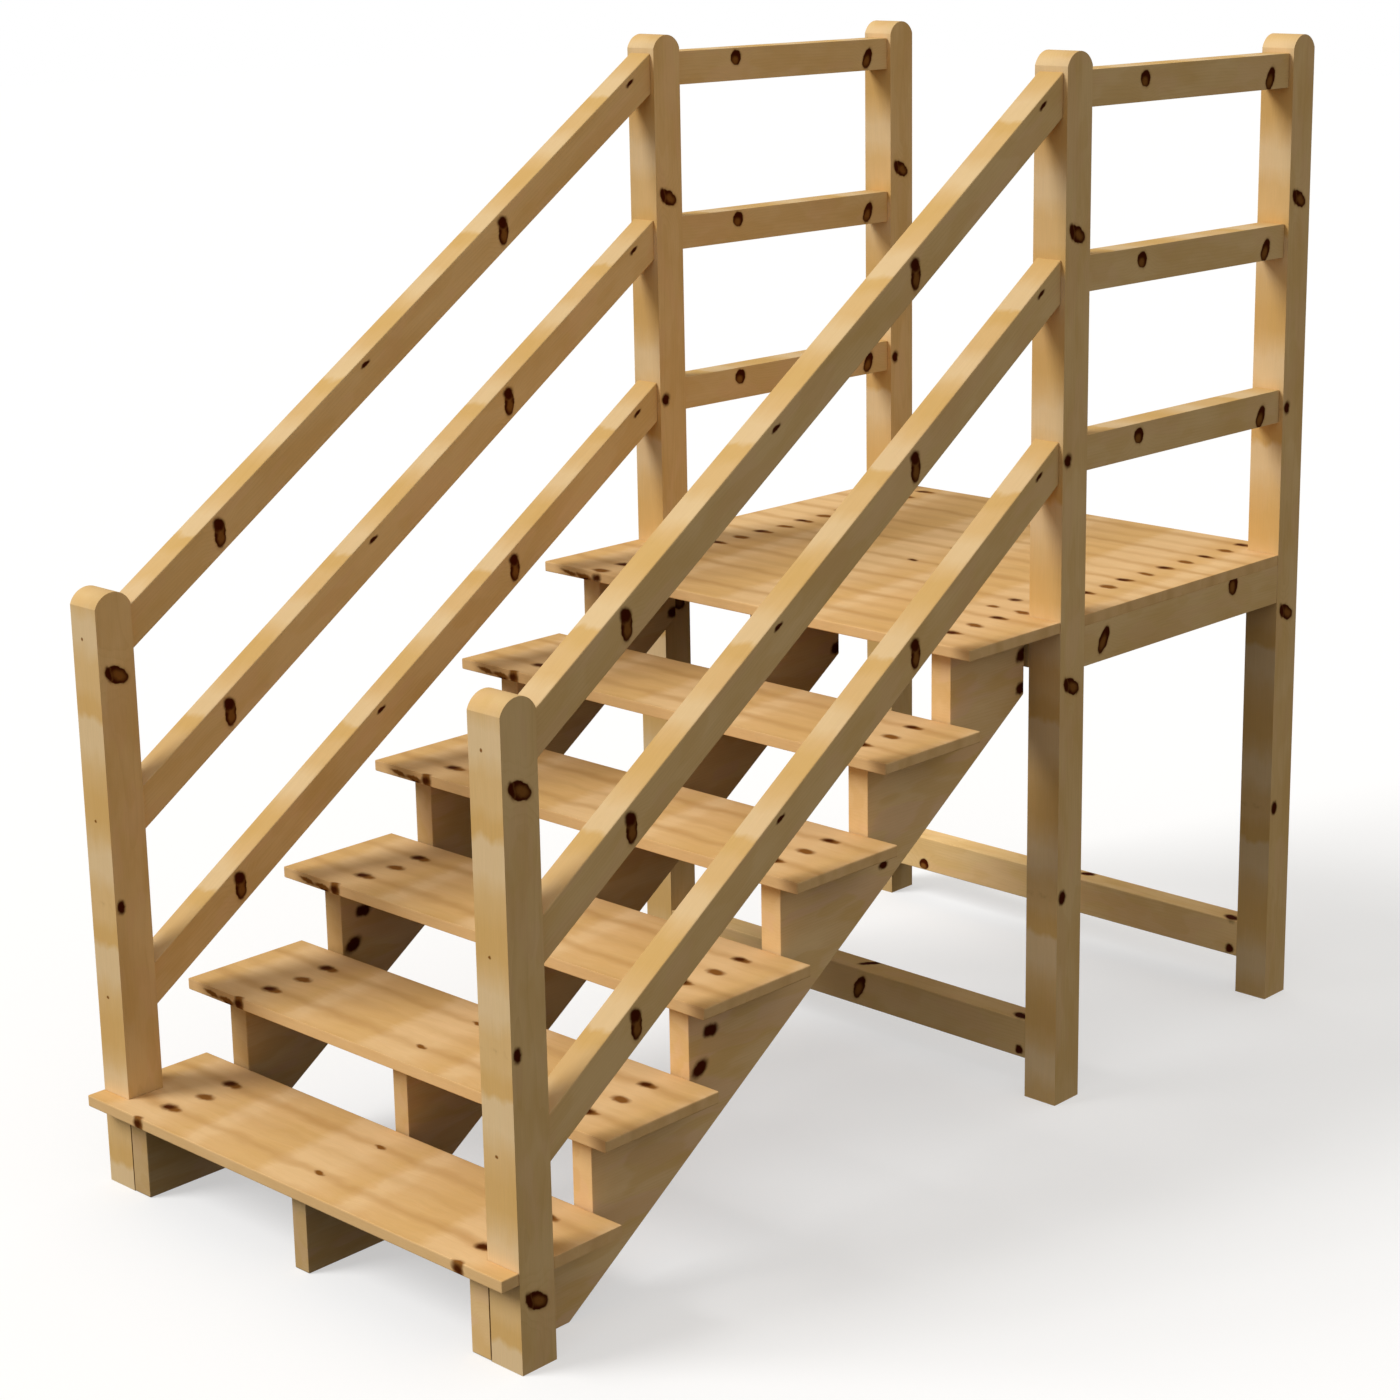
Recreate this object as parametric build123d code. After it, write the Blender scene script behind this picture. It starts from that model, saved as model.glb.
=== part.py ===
"""Free-standing pine deck stairs: five treads, a landing and post-and-rail guards.

Millimetres. X runs across the stairs, Y from the foot of the flight to the back of the
landing, Z up. The origin lies on the ground under the middle of the whole footprint.
"""
import os

from build123d import *

# ---- Overall layout -------------------------------------------------------------------
overall_width = 1200.0  # across the outer faces of the posts
rise_count = 6  # five treads and the landing
rise = 170.0  # height of each riser cut in the stringers
going = 250.0  # length of each tread cut in the stringers
landing_post_span = 790.0  # from the front of the upper newels to the front of the back posts

# ---- Posts ----------------------------------------------------------------------------
post_width = 80.0  # along X
post_depth = 80.0  # along Y
post_shoulder = 10.0  # from the top rail to the springing of the rounded top
crown_rise = 28.0  # height of the rounded top above its springing

# ---- Treads and landing boards --------------------------------------------------------
board_thickness = 23.0
nosing = 40.0  # how far a board stands in front of its riser cut
riser_gap = 5.0  # left between the back of a tread and the next riser cut
notch_clearance = 0.5  # around a post, where a board is cut to fit it

# ---- Stringers ------------------------------------------------------------------------
stringer_stock = 245.0  # width of the plank before the steps are sawn out
outer_stringer_thickness = 50.0
middle_stringer_thickness = 40.0
stringer_end_gap = 16.0  # from the plumb end cut to the front of the upper newels

# ---- Beams under the landing and at the foot of the tall posts -------------------------
beam_depth = 85.0  # upright side of the section
beam_thickness = 60.0
brace_clearance = 85.0  # from the ground to the underside of the low braces

# ---- Guard rails ----------------------------------------------------------------------
landing_guard_height = 1087.0  # top of the top rail above the landing
rail_to_rail_height = 360.0  # from the top of one rail to the top of the next
rails_per_side = 3
rail_thickness = 60.0  # along X, centred on the posts
rail_depth = 72.0  # square to the length of the rail

# ---- Places that follow from the sizes --------------------------------------------------
total_depth = nosing + rise_count * going + landing_post_span + post_depth
first_riser_y = nosing - total_depth / 2
newel_y = first_riser_y + rise_count * going  # front of the upper newels
back_post_y = newel_y + landing_post_span  # front of the back posts
landing_back_y = back_post_y + post_depth
outer_x = overall_width / 2
inner_x = outer_x - post_width  # inner faces of the posts
landing_under_z = rise_count * rise  # top of the stringers and beams
landing_top_z = landing_under_z + board_thickness
stair_slope = rise / going
pitch_length = (rise**2 + going**2) ** 0.5  # from one step's edge to the next, along the slope
rail_names = ["top", "middle", "bottom"]


def block(x_range, y_range, z_range):
    """A rectangular timber between the given limits on each axis."""
    size = [high - low for low, high in (x_range, y_range, z_range)]
    corner = Pos(x_range[0], y_range[0], z_range[0])
    return corner * Box(*size, align=(Align.MIN, Align.MIN, Align.MIN))


def side_profile(outline, x_low, thickness):
    """A plate cut to an outline drawn in Y and Z, with its faces across X."""
    return Pos(x_low, 0, 0) * extrude(Plane.YZ * make_face(outline), amount=thickness)


def side_x_low(side, thickness, inset=0.0):
    """Lower X limit of a side member set in from the outer faces of the posts."""
    return outer_x - inset - thickness if side == "right" else inset - outer_x


def round_top_post(side, front_y, spring_z):
    """A square post from the ground, rounded over from front to back above spring_z."""
    back_y = front_y + post_depth
    crown = (front_y + post_depth / 2, spring_z + crown_rise)
    outline = (
        Polyline((front_y, spring_z), (front_y, 0), (back_y, 0), (back_y, spring_z))
        + ThreePointArc((back_y, spring_z), crown, (front_y, spring_z))
    )
    return side_profile(outline, side_x_low(side, post_width), post_width)


def saw_tooth_stringer(x_low, thickness):
    """A plank with level and plumb step cuts, a flat foot and a plumb upper end."""
    step_cuts = [(first_riser_y, 0)]
    for step in range(rise_count):
        riser_y = first_riser_y + step * going
        step_cuts.append((riser_y, (step + 1) * rise))
        step_cuts.append((riser_y + going, (step + 1) * rise))
    end_y = newel_y - stringer_end_gap
    step_cuts[-1] = (end_y, landing_under_z)
    step_cut_depth = rise * going / pitch_length
    throat = stringer_stock - step_cut_depth
    underside_y = first_riser_y + throat * pitch_length / rise
    underside_end_z = (end_y - underside_y) * stair_slope
    underside = [(end_y, underside_end_z), (underside_y, 0)]
    return side_profile(Polyline(*step_cuts, *underside, close=True), x_low, thickness)


def post_notch(side, front_y, z_range):
    """The space cut from a board where a post passes through or beside it."""
    reach = post_width + notch_clearance
    x_low = outer_x - reach if side == "right" else -outer_x - notch_clearance
    y_range = (front_y - notch_clearance, front_y + post_depth + notch_clearance)
    return block((x_low, x_low + reach + notch_clearance), y_range, z_range)


def tread(step):
    """Tread number step, counted from 1; the first is cut around the lower newels."""
    front_y = first_riser_y + (step - 1) * going - nosing
    back_y = first_riser_y + step * going - riser_gap
    z_range = (step * rise, step * rise + board_thickness)
    board = block((-outer_x, outer_x), (front_y, back_y), z_range)
    if step == 1:
        for side in ("left", "right"):
            board -= post_notch(side, first_riser_y, z_range)
    return board


def landing_deck():
    """The landing surface, cut around the upper newels and the back posts."""
    front_y = first_riser_y + (rise_count - 1) * going - nosing
    z_range = (landing_under_z, landing_top_z)
    deck = block((-outer_x, outer_x), (front_y, landing_back_y), z_range)
    for side in ("left", "right"):
        for post_y in (newel_y, back_post_y):
            deck -= post_notch(side, post_y, z_range)
    return deck


def stair_rail(side, top_z_at_newel):
    """A sloping rail, cut plumb to butt the lower and the upper newel."""
    low_y = first_riser_y + post_depth
    fall = (newel_y - low_y) * stair_slope
    plumb_depth = rail_depth * pitch_length / going
    outline = Polyline(
        (low_y, top_z_at_newel - fall - plumb_depth),
        (low_y, top_z_at_newel - fall),
        (newel_y, top_z_at_newel),
        (newel_y, top_z_at_newel - plumb_depth),
        close=True,
    )
    return side_profile(outline, side_x_low(side, rail_thickness, rail_inset), rail_thickness)


def along_landing(side, thickness, inset, z_range):
    """A level member between an upper newel and the back post behind it."""
    x_low = side_x_low(side, thickness, inset)
    y_range = (newel_y + post_depth, back_post_y)
    return block((x_low, x_low + thickness), y_range, z_range)


def across_landing(front_y, z_range):
    """A beam between the inner faces of a left and a right post."""
    return block((-inner_x, inner_x), (front_y, front_y + beam_thickness), z_range)


# ---- Heights and places of the guard ----------------------------------------------------
rail_inset = (post_width - rail_thickness) / 2
top_rail_z = landing_top_z + landing_guard_height  # stair and landing rails meet at this height
stair_rail_fall = (newel_y - first_riser_y - post_depth) * stair_slope
lower_spring_z = top_rail_z - stair_rail_fall + post_shoulder
tall_spring_z = top_rail_z + post_shoulder

# ---- Every piece, by name ---------------------------------------------------------------
pieces = {}
for side in ("left", "right"):
    pieces[f"lower_newel_{side}"] = round_top_post(side, first_riser_y, lower_spring_z)
    pieces[f"upper_newel_{side}"] = round_top_post(side, newel_y, tall_spring_z)
    pieces[f"back_post_{side}"] = round_top_post(side, back_post_y, tall_spring_z)
    for place in range(rails_per_side):
        rail_name = f"{side}_{rail_names[place]}"
        top_z = top_rail_z - place * rail_to_rail_height
        pieces[f"stair_rail_{rail_name}"] = stair_rail(side, top_z)
        pieces[f"landing_rail_{rail_name}"] = along_landing(
            side, rail_thickness, rail_inset, (top_z - rail_depth, top_z)
        )
    apron_range = (landing_under_z - beam_depth, landing_under_z)
    pieces[f"landing_apron_{side}"] = along_landing(side, beam_thickness, 0, apron_range)

pieces["stringer_left"] = saw_tooth_stringer(-inner_x, outer_stringer_thickness)
pieces["stringer_middle"] = saw_tooth_stringer(-middle_stringer_thickness / 2, middle_stringer_thickness)
pieces["stringer_right"] = saw_tooth_stringer(inner_x - outer_stringer_thickness, outer_stringer_thickness)

for step in range(1, rise_count):
    pieces[f"tread_{step}"] = tread(step)
pieces["landing_deck"] = landing_deck()

beam_range = (landing_under_z - beam_depth, landing_under_z)
brace_range = (brace_clearance, brace_clearance + beam_depth)
back_beam_y = landing_back_y - beam_thickness
pieces["front_beam"] = across_landing(newel_y, beam_range)
pieces["back_beam"] = across_landing(back_beam_y, beam_range)
pieces["front_brace"] = across_landing(newel_y, brace_range)
pieces["back_brace"] = across_landing(back_post_y, brace_range)
joist_x = beam_thickness / 2
pieces["landing_joist"] = block((-joist_x, joist_x), (newel_y + beam_thickness, back_beam_y), beam_range)

os.makedirs("parts", exist_ok=True)
for name, shape in pieces.items():
    export_step(shape, f"parts/{name}.step")
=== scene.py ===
"""Free-standing pine deck stairs: the timbers' finish, and the floor, light and camera round them.

Metres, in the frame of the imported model: X runs across the stairs, Y from the foot of the flight
to the back of the landing, Z up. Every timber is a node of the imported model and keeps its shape
and place. This script eases the arrises, gives each timber knotty pine as if sawn from a log of
its own, and sets the stage. Sizes inside the classes are in millimetres unless they say otherwise.
"""

import logging
import math
import random
from dataclasses import dataclass
from enum import Enum
from functools import partial
from typing import Any

import bpy
from mathutils import Euler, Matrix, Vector


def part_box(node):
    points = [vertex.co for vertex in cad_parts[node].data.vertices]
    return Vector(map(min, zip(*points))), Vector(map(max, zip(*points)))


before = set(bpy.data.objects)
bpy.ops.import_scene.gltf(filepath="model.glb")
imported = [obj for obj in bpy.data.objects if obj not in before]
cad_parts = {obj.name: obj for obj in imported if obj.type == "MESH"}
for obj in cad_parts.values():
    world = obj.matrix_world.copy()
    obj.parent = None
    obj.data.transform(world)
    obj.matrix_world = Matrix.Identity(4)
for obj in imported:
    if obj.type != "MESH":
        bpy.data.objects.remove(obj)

Socket = bpy.types.NodeSocket
Outputs = bpy.types.bpy_prop_collection
Triple = tuple[float, float, float]

MM = 0.001
SIDES = ("left", "right")
YEAR_GROWTH = 457.0  # mm from one ring of branches to the next, a year's growth upwards
ARRIS_WIDTH = 2.5  # mm, the eased arris along a timber's edges
ARRIS_ANGLE = 40.0  # degrees; an edge that turns by less is left as it is
WELD_REACH = 0.05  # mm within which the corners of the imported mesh's loose triangles are joined
SEAM_WIDTH = 3.2  # mm across the painted shade in a gap between timbers, half of it on either timber
SEAM_RETURN = 4.0  # mm that the painted shade in a gap goes back from the front faces
LOG = logging.getLogger("deck_stairs")


# ---- Colour and nodes -------------------------------------------------------------------


def linear(hex_colour: str) -> tuple[float, float, float, float]:
    """Turns an sRGB hex colour into a linear one.

    Args:
        hex_colour: Six hex digits after a hash sign.

    Returns:
        Red, green, blue and an alpha of 1, in linear light.
    """
    channels = (int(hex_colour[start : start + 2], 16) / 255 for start in (1, 3, 5))
    red, green, blue = (
        channel / 12.92 if channel <= 0.04045 else ((channel + 0.055) / 1.055) ** 2.4
        for channel in channels
    )
    return red, green, blue, 1.0


def add_node(
    tree: bpy.types.NodeTree,
    kind: str,
    inputs: dict[int | str, Any] | None = None,
    stops: list[tuple[float, tuple[float, ...]]] | None = None,
    **settings: Any,
) -> Outputs:
    """Adds a shader node with its settings, and links or sets its inputs.

    Args:
        tree: The material's or world's node tree.
        kind: The node's type, without the "ShaderNode" in front.
        inputs: Sockets to link, or values to set, by input name or number.
        stops: Positions and linear colours, on a colour ramp.
        **settings: The node's own properties.

    Returns:
        The new node's outputs.
    """
    node = tree.nodes.new("ShaderNode" + kind)
    for name, value in settings.items():
        setattr(node, name, value)
    for key, value in (inputs or {}).items():
        if isinstance(value, Socket):
            tree.links.new(value, node.inputs[key])
        else:
            node.inputs[key].default_value = value
    for number, (position, colour) in enumerate(stops or ()):
        elements = node.color_ramp.elements
        element = elements[number] if number < 2 else elements.new(1.0)
        element.position = position
        element.color = colour
    return node.outputs


# ---- The timber -------------------------------------------------------------------------


class Grain(Enum):
    """The way the grain of a timber runs."""

    ACROSS = "across"
    ALONG = "along"
    UPRIGHT = "upright"
    PITCH = "pitch"

    def turn(self, pitch: float) -> Euler:
        """The turn that takes the pattern's own X axis to the grain of the timber.

        Args:
            pitch: The slope of the flight, in radians.

        Returns:
            The turn, with the pattern's Z axis upwards wherever the grain isn't upright.
        """
        quarter = math.pi / 2
        turns = {
            Grain.ACROSS: (0.0, 0.0, 0.0),
            Grain.ALONG: (0.0, 0.0, quarter),
            Grain.UPRIGHT: (0.0, -quarter, 0.0),
            Grain.PITCH: (0.0, -pitch, quarter),
        }
        return Euler(turns[self])


class Branch(Enum):
    """The way a knot runs through a timber: it shows on the two faces that it crosses."""

    SIDEWAYS = "sideways"
    UP = "up"


class Kind(Enum):
    """The colour of a knot.

    A dead branch's knot is nearly black round a browner heart, a sound one is brown with a soft
    edge, and a charred one is nearly black right through.
    """

    DEAD = "dead"
    SOUND = "sound"
    CHARRED = "charred"


@dataclass(frozen=True)
class Knot:
    """A knot, in millimetres from the start of its timber's pattern; most run right through.

    Attributes:
        along: Its place along the grain.
        sideways: Its place sideways from the middle of the timber, or across a pair of staves.
        up: Its place upwards from the middle of the timber.
        length: Its size along its own long axis.
        width: Its size across that axis.
        tilt: How far its long axis leans from the grain, in degrees.
        branch: The way it runs through the timber.
        kind: Its colour.
        repeats: Whether every pair of staves has it.
        depth: How far it reaches into the timber, both ways from its place.
    """

    along: float
    sideways: float
    up: float
    length: float
    width: float
    tilt: float = 0.0
    branch: Branch = Branch.SIDEWAYS
    kind: Kind = Kind.DEAD
    repeats: bool = False
    depth: float = 1000.0

    def turn(self) -> Triple:
        """The turn of the knot's long axis from the grain, within the face that shows it.

        Returns:
            The turn about each of the pattern's axes, in radians.
        """
        if self.branch is Branch.SIDEWAYS:
            return 0.0, -math.radians(self.tilt), 0.0
        return 0.0, 0.0, math.radians(self.tilt)

    def radii(self, size: float) -> Triple:
        """The knot's half sizes.

        Args:
            size: How large the knot is taken, against its own size.

        Returns:
            The half sizes along the grain, sideways and up, in millimetres.
        """
        half_length, half_width = size * self.length / 2, size * self.width / 2
        if self.branch is Branch.SIDEWAYS:
            return half_length, self.depth, half_width
        return half_length, half_width, self.depth


@dataclass(frozen=True)
class Seam:
    """A narrow gap where two timbers lie side by side, dark because hardly any light gets into it.

    Attributes:
        middle: Its middle, in millimetres from the start of the timber's pattern.
        reach: How far it reaches from there, both ways along, sideways and up.
    """

    middle: Triple
    reach: Triple


@dataclass(frozen=True)
class PlanedPine:
    """Planed pine, left bare: matt, pale sapwood, faint yearly rings, nearly black at its knots.

    Its flat-sawn faces show paler and yellower bands for each year that the tree grew upwards.
    """

    early_wood: str = "#D9B67E"
    late_wood: str = "#C9A369"
    pale_patch: str = "#E0C08C"
    deep_patch: str = "#CFA767"
    rosy_patch: str = "#DBB285"
    heart_streak: str = "#BE935A"
    end_grain: str = "#D3AE78"
    knot_rim: str = "#421604"
    knot_heart: str = "#7C4F22"
    knot_sound: str = "#7E4C16"
    knot_halo: str = "#A0703A"
    # painted shade: the colour laid in the narrow gap between two timbers
    seam: str = "#5E4022"
    pale_band: str = "#E4C79A"
    middle_band: str = "#DCB67C"
    yellow_band: str = "#D6AB67"
    band_strength: float = 0.75
    band_lean: float = 0.1  # how far a band's edges lean, against the width of the face
    band_wander: float = 40.0  # mm over which a band's edges stray
    ring_strength: float = 0.3
    ring_width: float = 6.0  # mm; real rings are often half as wide and wouldn't show
    ring_wander: float = 40.0  # mm that the rings stray along a board
    ring_swelling: float = 15.0  # mm that the rings are pushed out where they pass a knot
    patch_length: float = 190.0  # mm along the grain
    patch_width: float = 70.0  # mm across the grain
    patch_strength: float = 0.45
    fibre: Triple = (60.0, 1.7, 1.7)  # mm; real fibres are far finer and wouldn't show
    relief: float = 0.1  # mm of height for one step of the pattern of fibres and rings
    roughness: float = 0.65
    knot_fade: tuple[float, float] = (0.6, 1.15)  # over which a charred knot fades; 1 is its rim
    ragged_wave: float = 15.0  # mm from one tooth of a knot's ragged edge to the next
    ragged_reach: float = 9.0  # mm over which that edge strays at the very most
    sheen: float = 0.005  # bare wood, so matt that hardly any white shows in its dark knots

    def bands(self) -> list[tuple[float, str]]:
        """The bands in a year's growth.

        Returns:
            Their places, from 0 to 1 along the year, and their colours.
        """
        pale, middle, yellow = self.pale_band, self.middle_band, self.yellow_band
        places = (0.0, 0.11, 0.21, 0.33, 0.43, 0.50, 0.58, 0.66, 0.75, 0.86, 0.92, 0.97, 1.0)
        first_half = (pale, pale, middle, yellow, yellow, middle)
        second_half = (pale, pale, middle, middle, yellow, yellow, pale)
        return list(zip(places, first_half + second_half))


@dataclass(frozen=True)
class RailPine(PlanedPine):
    """Planed pine of the rails, whose flat-sawn tops are a little deeper in colour."""

    pale_band: str = "#D8BC90"
    middle_band: str = "#D0AC75"
    yellow_band: str = "#CAA362"


@dataclass(frozen=True)
class GluedPine(PlanedPine):
    """Planed pine glued up from staves: warm, with a darker streak along each stave."""

    early_wood: str = "#DCB37A"
    late_wood: str = "#CA9F60"
    pale_patch: str = "#E6C08A"
    deep_patch: str = "#D0A262"
    rosy_patch: str = "#E2B686"
    heart_streak: str = "#BE9056"
    end_grain: str = "#DAB47E"
    knot_rim: str = "#4A2006"
    pale_band: str = "#E9C592"
    middle_band: str = "#DFB67E"
    yellow_band: str = "#D9AF70"
    band_strength: float = 0.65
    ring_strength: float = 0.18
    ring_width: float = 8.0
    ring_wander: float = 26.0
    patch_length: float = 110.0
    patch_width: float = 30.0
    patch_strength: float = 0.4
    knot_fade: tuple[float, float] = (0.3, 1.3)
    stave: float = 73.0  # mm across one stave
    edge_wander: float = 24.0  # mm over which the edge between two staves strays
    knot_shift: float = 8.0  # mm along the grain over which the staves' knots differ
    dice_start: float = 0.37  # sets the staves' random numbers
    streak_reach: float = 23.0  # mm from the middle of a stave's streak to where it ends
    streak_wander: float = 26.0  # mm over which the streak strays
    log_spread: Triple = (2600.0, 36.0, 24.0)  # mm over which the staves' places in a log differ

    def bands(self) -> list[tuple[float, str]]:
        """The bands in a year's growth.

        Returns:
            Their places, from 0 to 1 along the year, and their colours.
        """
        pale, middle, yellow = self.pale_band, self.middle_band, self.yellow_band
        places = (0.0, 0.23, 0.32, 0.42, 0.46, 0.49, 0.54, 0.60, 0.80, 0.94, 1.0)
        colours = (pale, pale, middle, yellow, middle, pale, pale, middle, yellow, yellow, pale)
        return list(zip(places, colours))


@dataclass(frozen=True)
class PlankPine(PlanedPine):
    """Planed pine plank, cut from knottier wood."""

    early_wood: str = "#D9B682"
    rosy_patch: str = "#DBB490"
    patch_length: float = 260.0
    patch_strength: float = 0.7


@dataclass
class Timber:
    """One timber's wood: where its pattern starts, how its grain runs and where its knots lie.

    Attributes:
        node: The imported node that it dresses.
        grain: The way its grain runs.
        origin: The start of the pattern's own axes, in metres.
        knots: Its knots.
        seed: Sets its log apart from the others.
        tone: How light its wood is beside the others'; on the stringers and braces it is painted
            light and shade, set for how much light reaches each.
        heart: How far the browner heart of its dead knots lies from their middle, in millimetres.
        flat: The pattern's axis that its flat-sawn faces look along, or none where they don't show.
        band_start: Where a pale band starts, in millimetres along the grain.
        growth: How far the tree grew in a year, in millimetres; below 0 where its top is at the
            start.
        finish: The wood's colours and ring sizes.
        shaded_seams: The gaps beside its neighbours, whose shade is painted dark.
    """

    node: str
    grain: Grain
    origin: Vector
    knots: list[Knot]
    seed: int
    tone: float = 1.0
    heart: Triple = (0.0, 0.0, 0.0)
    flat: Vector | None = None
    band_start: float = 0.0
    growth: float = YEAR_GROWTH
    finish: PlanedPine = PlanedPine()
    shaded_seams: tuple[Seam, ...] = ()


@dataclass(frozen=True)
class Staves:
    """Where a point lies in a board that is glued up from staves.

    Attributes:
        pair: The place within a pair of staves.
        log: The place in each stave's own log.
        from_middle: The distance from the middle of the stave.
        tone: A number from 0 to 1 that differs from stave to stave.
        first: One on the first stave of each pair, and 0 on the second.
    """

    pair: Socket
    log: Socket
    from_middle: Socket
    tone: Socket
    first: Socket


class PineMaterial:
    """Builds one timber's material as a pattern in millimetres along and across its grain."""

    def __init__(self, timber: Timber, pitch: float) -> None:
        """Starts an empty material.

        Args:
            timber: The timber to make the material for.
            pitch: The slope of the flight, in radians.
        """
        self.timber = timber
        self.finish = timber.finish
        self.turn = timber.grain.turn(pitch)
        self.dice = random.Random(timber.seed)
        self.wood = bpy.data.materials.new(f"planed_pine_{timber.node}")
        self.wood.use_nodes = True
        self.wood.node_tree.nodes.clear()
        self.add = partial(add_node, self.wood.node_tree)
        self.coordinates = self.add("TexCoord")
        self.colour: Socket | tuple[float, ...] = self.toned(self.finish.early_wood)

    def toned(self, hex_colour: str) -> tuple[float, ...]:
        """The linear colour, as light as this timber's factor makes it, which on some timbers is
        painted light and shade.
        """
        return tuple(channel * self.timber.tone for channel in linear(hex_colour)[:3]) + (1.0,)

    def blotches(self, place: Socket, size: Triple | Vector, detail: float) -> Outputs:
        """Soft random blotches.

        Args:
            place: The place in the timber, in millimetres.
            size: Their size in millimetres along, sideways and up.
            detail: How many times finer ones are added.

        Returns:
            A number from 0 to 1 and a colour of three such numbers.
        """
        scaled = self.add("VectorMath", {0: place, 1: size}, operation="DIVIDE")[0]
        return self.add("TexNoise", {"Vector": scaled, "Scale": 1.0, "Detail": detail})

    def lay(
        self,
        over: str | Socket,
        value: Socket,
        fade: tuple[float, float],
        strength: tuple[Socket | float, Socket | float],
    ) -> None:
        """Lays a colour over the wood.

        Args:
            over: The colour, as six hex digits or as a socket.
            value: What says how strongly it shows.
            fade: The value where the change begins and where it ends.
            strength: How strongly the colour shows at either end of the fade.
        """
        fades = {"Value": value, "From Min": fade[0], "From Max": fade[1]}
        fades |= {"To Min": strength[0], "To Max": strength[1]}
        amount = self.add("MapRange", fades, interpolation_type="SMOOTHSTEP")[0]
        over = self.toned(over) if isinstance(over, str) else over
        mixed = {"Factor": amount, "A": self.colour, "B": over}
        self.colour = self.add("Mix", mixed, data_type="RGBA")["Result"]

    def facing(self, axis: Vector) -> Socket:
        """How squarely the surface looks along one of the pattern's axes.

        Args:
            axis: The axis.

        Returns:
            A number from 0 to 1.
        """
        turned = axis.copy()
        turned.rotate(self.turn)
        inputs = {0: self.coordinates["Normal"], 1: turned}
        squarely = self.add("VectorMath", inputs, operation="DOT_PRODUCT")["Value"]
        return self.add("Math", {0: squarely}, operation="ABSOLUTE")[0]

    def board_place(self) -> Socket:
        """The place in the timber's own axes.

        Returns:
            The place in millimetres along the grain, sideways and up.
        """
        mapped = {
            "Vector": self.coordinates["Object"],
            "Location": self.timber.origin,
            "Rotation": self.turn,
            "Scale": (MM, MM, MM),
        }
        return self.add("Mapping", mapped, vector_type="TEXTURE")[0]

    def staves(self, place: Socket, glued: GluedPine) -> Staves:
        """Splits a glued board into staves, whose edges wander a little.

        Args:
            place: The place in the board.
            glued: The board's finish.

        Returns:
            The place in its stave.
        """
        width, wander = glued.stave, glued.edge_wander
        split = self.add("SeparateXYZ", {0: place})
        stray = self.blotches(place, (90.0, 50.0, 400.0), 1.5)["Fac"]
        across = self.add("Math", {0: split["Y"], 1: wander / 2}, operation="SUBTRACT")[0]
        across = self.add("Math", {0: stray, 1: wander, 2: across}, operation="MULTIPLY_ADD")[0]
        counted = self.add("Math", {0: across, 1: width}, operation="DIVIDE")[0]
        number = self.add("Math", {0: counted}, operation="FLOOR")[0]
        seed = glued.dice_start + self.timber.seed
        seeded = self.add("Math", {0: number, 1: seed}, operation="ADD")[0]
        dice = self.add("TexWhiteNoise", {"W": seeded}, noise_dimensions="1D")
        moved = {0: dice["Value"], 1: glued.knot_shift, 2: split["X"]}
        moved = self.add("Math", moved, operation="MULTIPLY_ADD")[0]
        in_pair = self.add("Math", {0: across, 1: 2 * width}, operation="FLOORED_MODULO")[0]
        in_stave = self.add("Math", {0: across, 1: width}, operation="FLOORED_MODULO")[0]
        from_middle = self.add("Math", {0: in_stave, 1: width / 2}, operation="SUBTRACT")[0]
        own = self.add("CombineXYZ", {"X": split["X"], "Y": from_middle, "Z": split["Z"]})[0]
        apart = {0: dice["Color"], 1: glued.log_spread, 2: own}
        return Staves(
            pair=self.add("CombineXYZ", {"X": moved, "Y": in_pair, "Z": split["Z"]})[0],
            log=self.add("VectorMath", apart, operation="MULTIPLY_ADD")[0],
            from_middle=from_middle,
            tone=dice["Value"],
            first=self.add("Math", {0: in_pair, 1: width}, operation="LESS_THAN")[0],
        )

    def knot_distance(
        self,
        whole: Socket,
        pair: Socket,
        kind: Kind,
        size: float = 1.0,
        shift: Triple = (0.0, 0.0, 0.0),
    ) -> Socket | None:
        """The distance to the nearest knot of a kind, 1 at its rim.

        Args:
            whole: The place in the whole timber.
            pair: The place in a pair of staves.
            kind: The kind of knot.
            size: How large every knot is taken, against its own size.
            shift: How far every knot is moved, in millimetres.

        Returns:
            The distance, or nothing on a timber without such knots.
        """
        nearest = None
        for knot in (each for each in self.timber.knots if each.kind is kind):
            mapped = {
                "Vector": pair if knot.repeats else whole,
                "Location": Vector((knot.along, knot.sideways, knot.up)) + Vector(shift),
                "Rotation": knot.turn(),
                "Scale": knot.radii(size),
            }
            about = self.add("Mapping", mapped, vector_type="TEXTURE")[0]
            distance = self.add("VectorMath", {0: about}, operation="LENGTH")["Value"]
            if nearest is not None:
                distance = self.add("Math", {0: nearest, 1: distance}, operation="MINIMUM")[0]
            nearest = distance
        return nearest

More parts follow.
